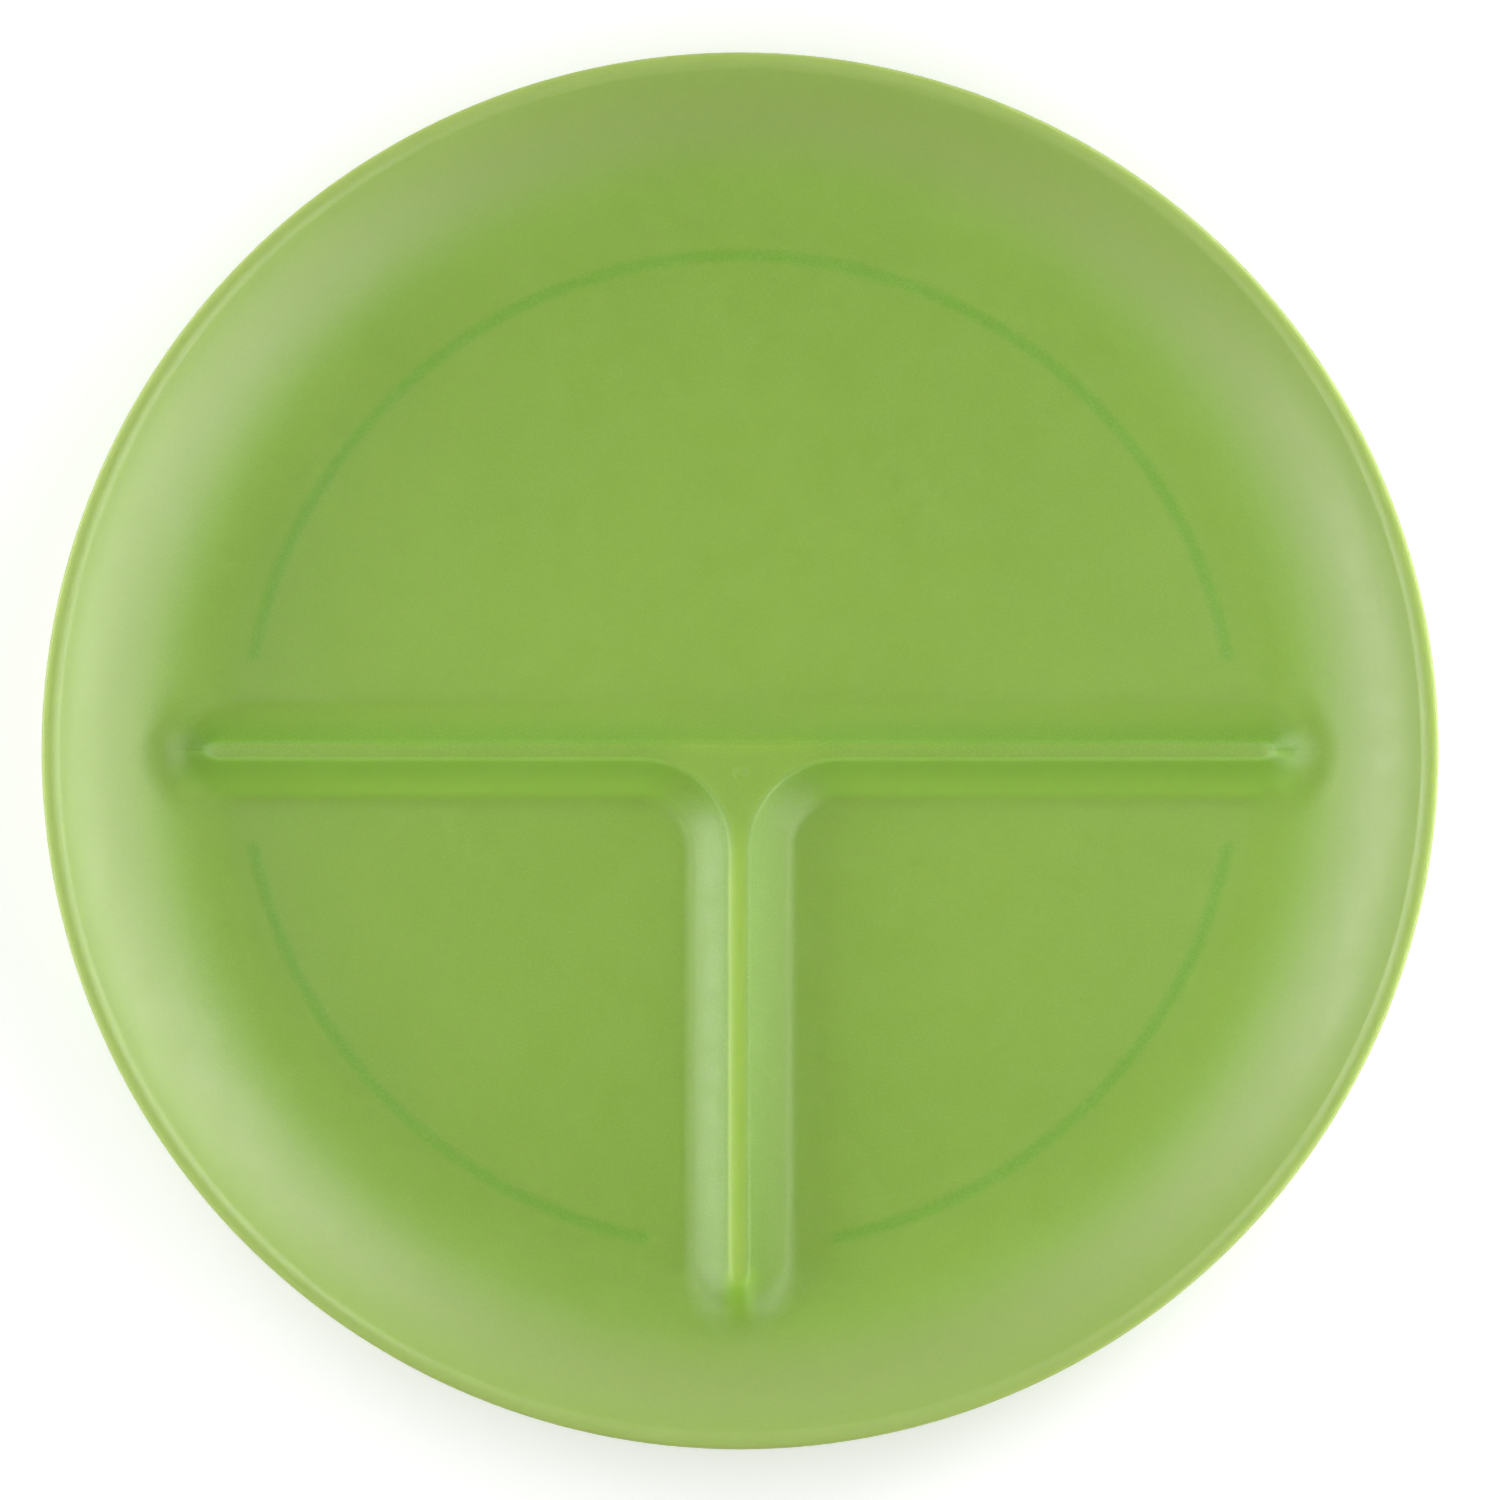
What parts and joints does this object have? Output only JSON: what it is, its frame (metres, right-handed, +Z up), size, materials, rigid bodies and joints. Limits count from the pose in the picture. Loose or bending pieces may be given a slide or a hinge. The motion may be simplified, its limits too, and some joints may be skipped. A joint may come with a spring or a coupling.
{
  "type": "portion plate",
  "caption": "Round shallow plate with a low T-shaped divider that parts it into a half and two quarters, on curved feet under the floor.",
  "frame": {"origin": "centre of the plate on the surface that it stands on", "axes": "+Z up, +Y into the half compartment, +X to the right seen from above with the half compartment away from the viewer"},
  "size_m": [0.25, 0.25, 0.0208],
  "materials": {
    "lime_plastic": "satin"
  },
  "bodies": {
    "root": {"plate": "lime_plastic", "foot_rear": "lime_plastic", "foot_left": "lime_plastic", "foot_right": "lime_plastic"}
  },
  "joints": []
}
